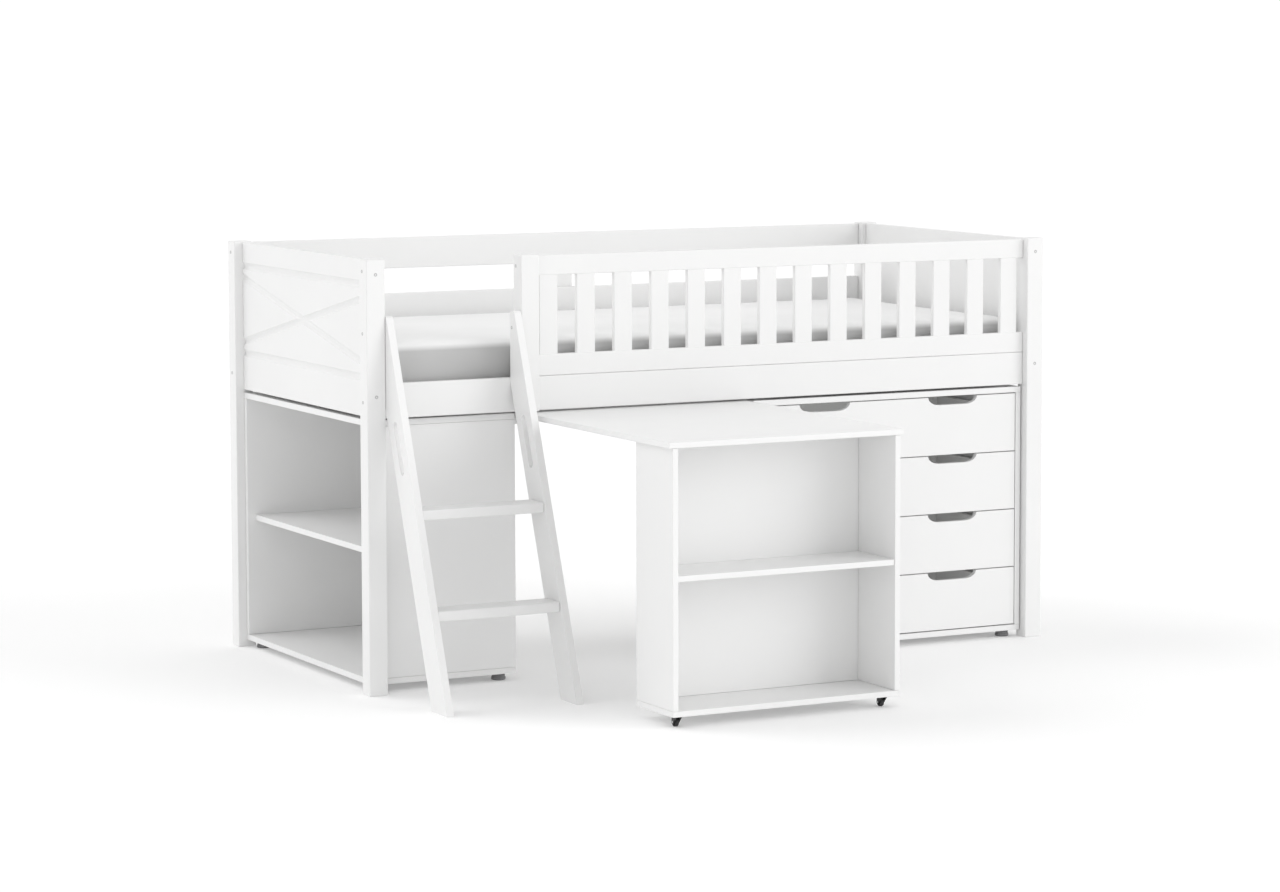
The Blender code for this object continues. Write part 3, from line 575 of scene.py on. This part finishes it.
def ladder():
    """Two stringers with routed grips, and two treads between them."""
    for node in ("ladder_stringer_left", "ladder_stringer_right"):
        low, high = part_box(node)
        foot = low.y
        rest_z = (high.y - foot - STRINGER_DEPTH) * LADDER_RISE
        top_front = foot + high.z / LADDER_RISE
        corners = [(foot, 0.0), (foot + STRINGER_DEPTH, 0.0), (high.y, rest_z),
                   (high.y, high.z), (top_front, high.z)]
        outline = corners[:3]
        outline += corner_arc(corners[3], corners[2], corners[4], 0.007)
        outline += corner_arc(corners[4], corners[3], corners[0], 0.009)
        middle = foot + STRINGER_DEPTH / 2
        end = GRIP_SLOT_WIDTH / 2
        bottom = GRIP_SLOT_BOTTOM + end
        top = GRIP_SLOT_TOP - end
        slot = stadium((middle + bottom / LADDER_RISE, bottom), (middle + top / LADDER_RISE, top),
                       GRIP_SLOT_WIDTH)
        mesh = outline_mesh(f"{node}_look", [outline, slot], "X", low.x, high.x)
        made = finish_piece(f"{node}_look", mesh, PAINT_Z, "bed", (node,))
        soften(made, 0.003)
    for node in ("ladder_tread_lower", "ladder_tread_upper"):
        board_for(node, PAINT_X, 0.004)


ladder()

# --- bookcase and chest -------------------------------------------------------------------

for node in ("bookcase_top", "bookcase_bottom", "bookcase_side_front", "bookcase_side_back",
             "bookcase_shelf", "chest_top", "chest_bottom", "chest_side_right"):
    board_for(node, PAINT_BOARD)
board_for("chest_back", FOIL, 0.0008)


def panel_with_runner(node, cap_node, side):
    """A cabinet panel and the batten on it that carries the desk's top."""
    low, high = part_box(node)
    panel_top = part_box(cap_node)[0].z - GAP
    face = low.x + CABINET_BOARD if side > 0 else high.x - CABINET_BOARD
    panel_x = (low.x, face) if side > 0 else (face, high.x)
    runner_x = (face + 0.0002, high.x) if side > 0 else (low.x, face - 0.0002)
    board(f"{node}_look", (panel_x[0], low.y, low.z), (panel_x[1], high.y, panel_top),
          PAINT_BOARD, "bed", (node,))
    board(f"{node}_runner", (runner_x[0], low.y, high.z - RUNNER_HEIGHT),
          (runner_x[1], high.y, high.z), PAINT_Y, "bed", (node,), 0.0015)


panel_with_runner("bookcase_back", "bookcase_top", 1)
panel_with_runner("chest_side_left", "chest_top", -1)


def unit_feet(unit):
    """Round moulded feet with a flared collar."""
    for corner in ("front_left", "front_right", "back_left", "back_right"):
        node = f"{unit}_foot_{corner}"
        low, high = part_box(node)
        radius = (high.x - low.x) / 2
        top = high.z
        profile = [(0.0, 0.0), (radius - 0.0035, 0.0), (radius - 0.0015, 0.0008),
                   (radius - 0.0005, 0.0025), (radius - 0.0005, 0.0075),
                   (radius - 0.0022, 0.0095), (radius - 0.0025, 0.0140),
                   (radius, 0.0165), (radius, top - 0.0006), (radius - 0.0006, top), (0.0, top)]
        mesh = turned_mesh(f"{node}_look", profile)
        place = Matrix.Translation(((low.x + high.x) / 2, (low.y + high.y) / 2, low.z))
        finish_piece(f"{node}_look", mesh, FOOT_GREY, "bed", (node,), place)


unit_feet("bookcase")
unit_feet("chest")


def scooped_outline(low, high, steps=14):
    """A drawer front with two finger scoops in its top edge, as (x, z) points."""
    bowl = SCOOP_HALF_WIDTH - SCOOP_FLAT_HALF_WIDTH
    points = [(low.x, low.z), (high.x, low.z), (high.x, high.z)]
    for part in (0.75, 0.25):
        centre = low.x + part * (high.x - low.x)
        for index in range(steps + 1):
            angle = math.pi / 2 * index / steps
            points.append((centre + SCOOP_FLAT_HALF_WIDTH + bowl * math.cos(angle),
                           high.z - SCOOP_DEPTH * math.sin(angle)))
        for index in range(steps + 1):
            angle = math.pi / 2 * (1 - index / steps)
            points.append((centre - SCOOP_FLAT_HALF_WIDTH - bowl * math.cos(angle),
                           high.z - SCOOP_DEPTH * math.sin(angle)))
    points.append((low.x, high.z))
    return points


def drawer(index):
    """A scooped front, and a box of thin boards on metal runners behind it."""
    body = f"drawer_{index}"
    front = f"drawer_front_{index}"
    low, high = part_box(front)
    mesh = outline_mesh(f"{front}_look", [scooped_outline(low, high)], "Y", low.y, high.y)
    made = finish_piece(f"{front}_look", mesh, PAINT_BOARD, body, (front,))
    soften(made, 0.0012, 2, 40.0)
    box = f"drawer_box_{index}"
    low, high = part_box(box)
    wall = DRAWER_WALL
    walls = {
        "left": (low, (low.x + wall, high.y, high.z)),
        "right": ((high.x - wall, low.y, low.z), high),
        "front": ((low.x + wall + GAP, low.y, low.z),
                  (high.x - wall - GAP, low.y + wall, high.z)),
        "back": ((low.x + wall + GAP, high.y - wall, low.z + 0.012),
                 (high.x - wall - GAP, high.y, high.z)),
        "floor": ((low.x + wall - 0.004, low.y + wall - 0.004, low.z + 0.008),
                  (high.x - wall + 0.004, high.y - 0.002, low.z + 0.008 + DRAWER_FLOOR)),
    }
    for part, (start, end) in walls.items():
        board(f"{box}_{part}", start, end, FOIL, body, (box,), 0.0008)
    for side, x, way in (("left", low.x, -1), ("right", high.x, 1)):
        for part, member_body, offset in (("inner", body, 0.0004), ("outer", "bed", 0.0070)):
            near = x + way * offset
            far = near + way * 0.0055
            start = (min(near, far), low.y + 0.002, low.z + 0.020)
            end = (max(near, far), high.y - 0.004, low.z + 0.052)
            board(f"drawer_runner_{index}_{side}_{part}", start, end, ZINC, member_body, (),
                  0.0012)


for number in range(1, 5):
    drawer(number)

# --- desk ---------------------------------------------------------------------------------

board_for("desk_top", PAINT_BOARD, TOP_EDGE)
for node in ("desk_bottom", "desk_side_left", "desk_side_right", "desk_back", "desk_shelf"):
    board_for(node, PAINT_BOARD)


def wheel_profile(half_width, radius):
    """Half section of a small tyre on a dished hub."""
    hub = radius * 0.55
    rim = radius * 0.74
    side = [(0.0, half_width - 0.0004), (hub * 0.5, half_width - 0.0004),
            (hub * 0.55, half_width - 0.0012), (hub, half_width - 0.0016),
            (rim, half_width - 0.0012), (rim + 0.0003, half_width - 0.0004),
            (radius - 0.0016, half_width), (radius - 0.0006, half_width - 0.0005),
            (radius, half_width - 0.0018)]
    return side + [(across, -along) for across, along in reversed(side)]


def caster(side):
    """A swivel caster: screwed plate, raked fork, axle and wheel."""
    fork = f"caster_fork_{side}"
    wheel = f"caster_wheel_{side}"
    low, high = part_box(fork)
    wheel_low, wheel_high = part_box(wheel)
    axle = (wheel_low + wheel_high) / 2
    centre_x = (low.x + high.x) / 2
    plate_low = high.z - CASTER_PLATE_THICKNESS
    board(f"{fork}_plate", (low.x - 0.004, low.y, plate_low), (high.x + 0.004, high.y, high.z),
          BLACK, fork, (fork,), 0.0010)
    pin_y = (low.y + high.y) / 2
    pivot = turned_mesh(f"{fork}_pivot", [(0.0, 0.0), (0.0085, 0.0), (0.0095, 0.0008),
                                          (0.0095, 0.0022), (0.0, 0.0022)], 32)
    place = Matrix.Translation((centre_x, pin_y, plate_low - 0.0022))
    finish_piece(f"{fork}_pivot", pivot, BLACK, fork, (), place)
    half_leg = (high.x - low.x) / 2
    slot = FORK_SLOT / 2
    top = plate_low - 0.0015
    outline = [(pin_y + 0.0125, top), (pin_y - 0.0115, top)]
    for index in range(11):
        angle = math.radians(208 + 160 * index / 10)
        outline.append((axle.y + FORK_END_RADIUS * math.cos(angle),
                        axle.z + FORK_END_RADIUS * math.sin(angle)))
    for leg, near, far in (("left", -half_leg, -slot), ("right", slot, half_leg)):
        mesh = outline_mesh(f"{fork}_leg_{leg}", [outline], "X", centre_x + near,
                            centre_x + far)
        made = finish_piece(f"{fork}_leg_{leg}", mesh, BLACK, fork, (fork,))
        soften(made, 0.0006, 2)
    crown = [(pin_y + 0.0125, top), (pin_y - 0.0115, top), (pin_y - 0.0105, top - 0.0018),
             (pin_y + 0.0115, top - 0.0018)]
    mesh = outline_mesh(f"{fork}_crown", [crown], "X", centre_x - slot - 0.0005,
                        centre_x + slot + 0.0005)
    soften(finish_piece(f"{fork}_crown", mesh, BLACK, fork, (fork,)), 0.0005, 2)
    lay = Matrix.Rotation(math.pi / 2, 4, "Y")
    mesh = turned_mesh(f"{wheel}_look", wheel_profile(WHEEL_HALF_WIDTH, WHEEL_RADIUS))
    finish_piece(f"{wheel}_look", mesh, RUBBER, wheel, (wheel,),
                 Matrix.Translation(axle) @ lay)
    profile = [(0.0, half_leg + 0.0010), (0.0022, half_leg + 0.0008),
               (0.0030, half_leg + 0.0002), (0.0030, half_leg - 0.0005),
               (0.0016, half_leg - 0.0005), (0.0016, slot - 0.0003), (0.0, slot - 0.0003)]
    for end, turn in (("left", math.pi), ("right", 0.0)):
        mesh = turned_mesh(f"{wheel}_axle_{end}", profile, 24)
        matrix = Matrix.Translation(axle) @ Matrix.Rotation(turn, 4, "Z") @ lay
        finish_piece(f"{wheel}_axle_{end}", mesh, ZINC, fork, (), matrix)


caster("left")
caster("right")

# --- bolts --------------------------------------------------------------------------------

RAIL_BOLT_HEIGHTS = (1.102, 0.784)
FRONT_PANEL_BOLT_HEIGHTS = (1.110, 0.948, 0.769)
BACK_PANEL_BOLT_HEIGHTS = (1.110, 0.772)
LADDER_BOLT_HEIGHT = 0.949


def bolt_cap(name, at, normal):
    """Recessed hexagon-socket cap of a frame bolt; at is on the wood's face."""
    profile = [(0.0, -0.0012), (0.0016, -0.0012), (0.0019, 0.0004), (0.0030, 0.0008),
               (0.0042, 0.0006), (0.0047, 0.0001), (0.0047, -0.0015), (0.0, -0.0015)]
    mesh = turned_mesh(name, profile, 24)
    turn = Vector((0.0, 0.0, 1.0)).rotation_difference(Vector(normal)).to_matrix().to_4x4()
    finish_piece(name, mesh, CAP_GREY, "bed", (),
                 Matrix.Translation(at) @ turn)


def bolts():
    """Caps on the posts and the ladder, where the rails and panels are bolted on."""
    count = 0
    for post, toward in (("post_front_left", -1.0), ("post_front_right", -1.0),
                         ("post_back_left", 1.0), ("post_back_right", 1.0)):
        low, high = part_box(post)
        for height in RAIL_BOLT_HEIGHTS:
            count += 1
            at = ((low.x + high.x) / 2, low.y if toward < 0 else high.y, height)
            bolt_cap(f"bolt_cap_{count:02d}", at, (0.0, toward, 0.0))
    for post, toward, inset, heights in (
            ("post_front_left", -1.0, 0.0280, FRONT_PANEL_BOLT_HEIGHTS),
            ("post_back_left", -1.0, 0.0265, BACK_PANEL_BOLT_HEIGHTS),
            ("post_front_right", 1.0, 0.0280, FRONT_PANEL_BOLT_HEIGHTS),
            ("post_back_right", 1.0, 0.0265, BACK_PANEL_BOLT_HEIGHTS)):
        low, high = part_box(post)
        for height in heights:
            count += 1
            at = (low.x if toward < 0 else high.x, low.y + inset, height)
            bolt_cap(f"bolt_cap_{count:02d}", at, (toward, 0.0, 0.0))
    low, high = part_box("post_front_middle")
    bolt_cap("bolt_cap_middle", (low.x, low.y + 0.033, 1.110), (-1.0, 0.0, 0.0))
    for node in ("ladder_stringer_left", "ladder_stringer_right"):
        low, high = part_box(node)
        bolt_cap(f"{node}_bolt", (low.x, high.y - 0.010, LADDER_BOLT_HEIGHT), (-1.0, 0.0, 0.0))


bolts()

# --- mattress -----------------------------------------------------------------------------

MATTRESS_VOXEL = 0.011
MATTRESS_RADIUS = 0.034
MATTRESS_INSET = 0.004    # room for the cover to swell sideways
MATTRESS_SWELL = 0.006    # the farthest that a point of the cover may move
CLOTH_FRAMES = 20


def mattress():
    """Foam mattress: a rounded block whose cover is blown out against its limits."""
    low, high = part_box("mattress")
    start = low + Vector((MATTRESS_INSET, MATTRESS_INSET, 0.0005))
    end = high - Vector((MATTRESS_INSET, MATTRESS_INSET, 0.003))
    mesh = rounded_mesh("mattress_look", start, end, MATTRESS_RADIUS, 8)
    made = finish_piece("mattress_look", mesh, TICKING, "bed", ("mattress",))
    remesh = made.modifiers.new("even_mesh", "REMESH")
    remesh.mode = "VOXEL"
    remesh.voxel_size = MATTRESS_VOXEL
    depsgraph = bpy.context.evaluated_depsgraph_get()
    even = bpy.data.meshes.new_from_object(made.evaluated_get(depsgraph))
    made.modifiers.clear()
    made.data = even
    rest = [vertex.co.copy() for vertex in even.vertices]
    inflate(made, even, rest, low)
    made.data.shade_smooth()
    smooth = made.modifiers.new("finer", "SUBSURF")
    smooth.levels = 1
    smooth.render_levels = 1


def inflate(made, even, rest, low):
    """Blow the cover out with cloth, held flat underneath, and keep it near its foam."""
    held = made.vertex_groups.new(name="underside")
    under = [index for index, co in enumerate(rest) if co.z < low.z + 0.004]
    held.add(under, 1.0, "REPLACE")
    cloth = made.modifiers.new("cover", "CLOTH")
    cloth.settings.quality = 4
    cloth.settings.mass = 0.4
    cloth.settings.tension_stiffness = 30
    cloth.settings.compression_stiffness = 30
    cloth.settings.bending_stiffness = 4
    cloth.settings.use_pressure = True
    cloth.settings.uniform_pressure_force = 4.0
    cloth.settings.vertex_group_mass = "underside"
    cloth.settings.effector_weights.gravity = 0.0
    cloth.collision_settings.use_collision = False
    scene = bpy.context.scene
    cloth.point_cache.frame_start = 1
    cloth.point_cache.frame_end = CLOTH_FRAMES
    for number in range(1, CLOTH_FRAMES + 1):
        scene.frame_set(number)
    depsgraph = bpy.context.evaluated_depsgraph_get()
    blown = bpy.data.meshes.new_from_object(made.evaluated_get(depsgraph))
    made.modifiers.clear()
    for index, vertex in enumerate(even.vertices):
        move = blown.vertices[index].co - rest[index]
        if move.length > MATTRESS_SWELL:
            move *= MATTRESS_SWELL / move.length
        vertex.co = rest[index] + move
    scene.frame_set(1)


mattress()

# --- floor, light and camera --------------------------------------------------------------

FLOOR_SIZE = 120.0
FLOOR_GLOW = 0.13
HORIZON_BRIGHTNESS = 1.06
HORIZON_BAND = (0.04, 0.10)     # rise over which the surroundings darken to the sky
SKY_BRIGHTNESS = 0.78
DRAWER_FILL_POWER = 0.22
CAMERA_LENS = 110.735
CAMERA_SHIFT = (-0.0781, -0.0516)
CAMERA_POSITION = (-5.0757, -9.4368, 1.7905)
CAMERA_DOWN = 0.0944            # radians below level
CAMERA_TURN = -0.5022           # radians from +Y
# azimuth, elevation and spread in degrees, and strength
SOFT_SUNS = ((315, 20, 40, 0.81), (135, 45, 40, 0.70), (225, 20, 40, 0.09))


def floor():
    """A plain pale floor."""
    bm = bmesh.new()
    bmesh.ops.create_grid(bm, x_segments=2, y_segments=2, size=FLOOR_SIZE)
    mesh = bpy.data.meshes.new("floor")
    bm.to_mesh(mesh)
    bm.free()
    made = bpy.data.objects.new("floor", mesh)
    bpy.context.scene.collection.objects.link(made)
    material, tree, shader = new_material("floor_paint")
    tone = noise_from(tree, 0.6, detail=2.0)
    stops = [(0.3, (0.885, 0.885, 0.885)), (0.7, (0.90, 0.90, 0.90))]
    tree.links.new(ramp(tree, tone, stops), shader.inputs["Base Color"])
    shader.inputs["Roughness"].default_value = 0.9
    shader.inputs["Specular IOR Level"].default_value = 0.0
    shader.inputs["Emission Color"].default_value = (1.0, 1.0, 1.0, 1.0)
    shader.inputs["Emission Strength"].default_value = FLOOR_GLOW
    mesh.materials.append(material)


def soft_sun(name, azimuth, elevation, spread, strength):
    """Broad light from a direction; azimuth goes from +X towards +Y, in degrees."""
    data = bpy.data.lights.new(name, "SUN")
    data.energy = strength
    data.angle = math.radians(spread)
    made = bpy.data.objects.new(name, data)
    bpy.context.scene.collection.objects.link(made)
    turn = math.radians(azimuth)
    rise = math.radians(elevation)
    towards = Vector((math.cos(turn) * math.cos(rise), math.sin(turn) * math.cos(rise),
                      math.sin(rise)))
    made.rotation_euler = towards.to_track_quat("Z", "Y").to_euler()


def drawer_fill(index):
    """Faint light inside a drawer's space, which stands in for light that leaks in."""
    low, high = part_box(f"drawer_box_{index}")
    data = bpy.data.lights.new(f"drawer_fill_{index}", "AREA")
    data.shape = "RECTANGLE"
    data.size = high.x - low.x - 0.06
    data.size_y = 0.02
    data.energy = DRAWER_FILL_POWER
    made = bpy.data.objects.new(f"drawer_fill_{index}", data)
    bpy.context.scene.collection.objects.link(made)
    made.location = ((low.x + high.x) / 2, low.y + 0.030, high.z - 0.012)
    made.rotation_euler = (math.pi / 2, 0.0, 0.0)
    made.visible_camera = False


def studio():
    """White surroundings, a little brighter at eye level, with soft light from around."""
    world = bpy.data.worlds.new("studio")
    bpy.context.scene.world = world
    world.use_nodes = True
    tree = world.node_tree
    coordinates = tree.nodes.new("ShaderNodeTexCoord")
    parts = tree.nodes.new("ShaderNodeSeparateXYZ")
    height = tree.nodes.new("ShaderNodeMapRange")
    height.inputs["From Min"].default_value = HORIZON_BAND[0]
    height.inputs["From Max"].default_value = HORIZON_BAND[1]
    height.inputs["To Min"].default_value = HORIZON_BRIGHTNESS
    height.inputs["To Max"].default_value = SKY_BRIGHTNESS
    tree.links.new(coordinates.outputs["Generated"], parts.inputs["Vector"])
    tree.links.new(parts.outputs["Z"], height.inputs["Value"])
    background = tree.nodes["Background"]
    background.inputs["Color"].default_value = (1.0, 1.0, 1.0, 1.0)
    tree.links.new(height.outputs["Result"], background.inputs["Strength"])
    for azimuth, elevation, spread, strength in SOFT_SUNS:
        soft_sun(f"soft_sun_{azimuth:03d}", azimuth, elevation, spread, strength)
    for index in range(1, 5):
        drawer_fill(index)
    bpy.context.scene.view_settings.view_transform = "Standard"
    bpy.context.scene.view_settings.look = "None"


def camera():
    """Long lens from the front left, a little above the bed."""
    data = bpy.data.cameras.new("camera")
    data.sensor_width = 36.0
    data.lens = CAMERA_LENS
    data.shift_x, data.shift_y = CAMERA_SHIFT
    data.clip_start = 0.1
    data.clip_end = 400.0
    made = bpy.data.objects.new("camera", data)
    bpy.context.scene.collection.objects.link(made)
    made.location = CAMERA_POSITION
    made.rotation_euler = (math.pi / 2 - CAMERA_DOWN, 0.0, CAMERA_TURN)
    bpy.context.scene.camera = made


floor()
studio()
camera()
